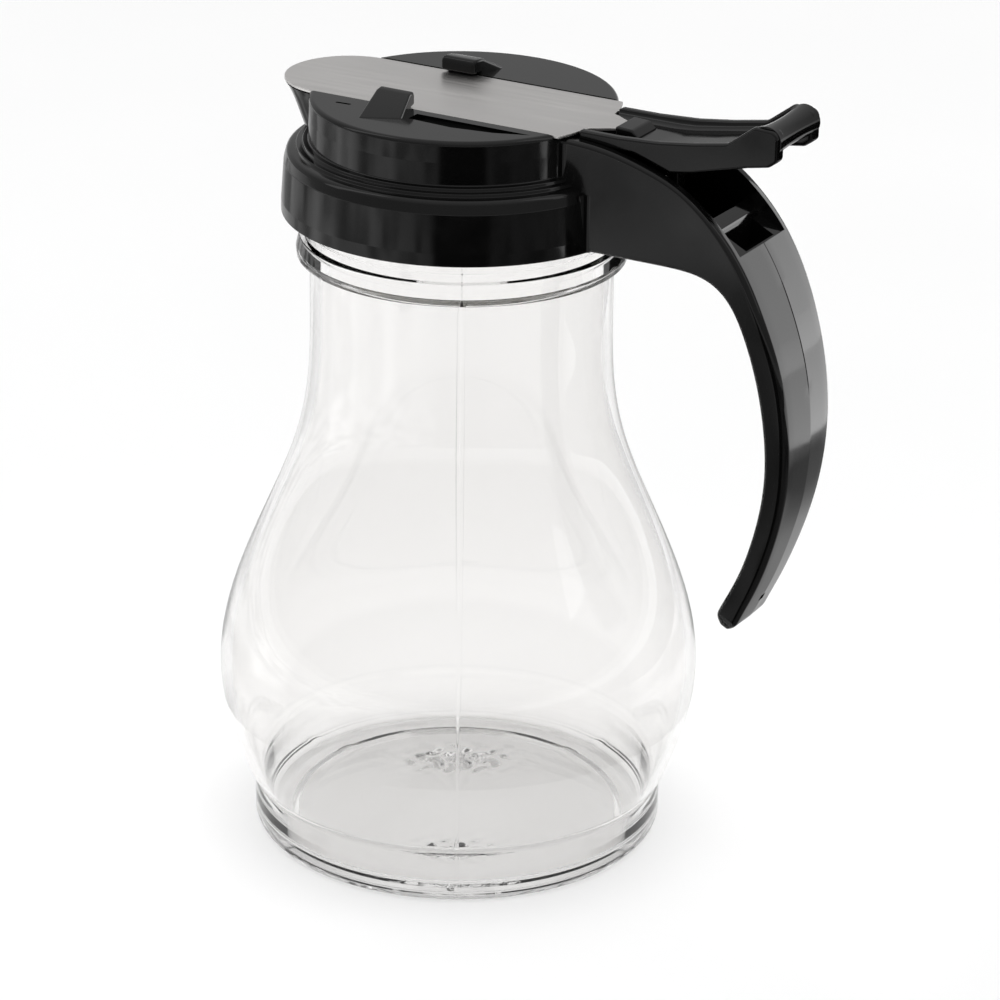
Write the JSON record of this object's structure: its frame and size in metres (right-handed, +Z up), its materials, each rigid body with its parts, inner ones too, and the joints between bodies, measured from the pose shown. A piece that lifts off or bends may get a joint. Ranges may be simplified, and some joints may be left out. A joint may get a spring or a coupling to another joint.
{
  "type": "syrup server",
  "caption": "Clear pear-shaped jar with a black screw-on pouring top, a C handle, and a spring-closed steel gate drawn back by a thumb slider.",
  "frame": {"origin": "middle of the bounding box, on the surface that the jar stands on", "axes": "+Z up, +X from the jar towards the handle, spout towards -X; the jar's axis is at x = -0.01335 m"},
  "size_m": [0.1195, 0.0928, 0.155],
  "materials": {
    "clear_jar": "clear polycarbonate, polished",
    "gasket": "matt silicone",
    "black_top": "gloss moulded",
    "gate_steel": "satin stainless sheet",
    "black_slider": "gloss moulded",
    "rivet_steel": "satin",
    "spring_steel": "bright drawn wire"
  },
  "bodies": {
    "jar": {"jar": "clear_jar"},
    "seal": {"jar_gasket": "gasket"},
    "top": {"top_body": "black_top", "return_spring": "spring_steel"},
    "slider": {"gate": "gate_steel", "thumb_slider": "black_slider", "gate_rivet": "rivet_steel"}
  },
  "joints": [
    {"name": "top_lift", "type": "slide", "parent": "jar", "child": "seal", "axis": [0, 0, 1], "range_m": [0, 0.00501]},
    {"name": "top_unscrew", "type": "hinge", "parent": "seal", "child": "top", "pos_m": [-0.01335, 0, 0], "axis": [0, 0, 1], "range_deg": [0, 450]},
    {"name": "gate_slide", "type": "slide", "parent": "top", "child": "slider", "axis": [1, 0, 0], "range_m": [0, 0.018], "stiffness_N_per_m": 120, "springref_m": -0.012, "deforming": ["return_spring"]}
  ],
  "couplings": [
    {"joint": "top_lift", "follows": "top_unscrew", "m_per_rad": 0.00063662}
  ]
}
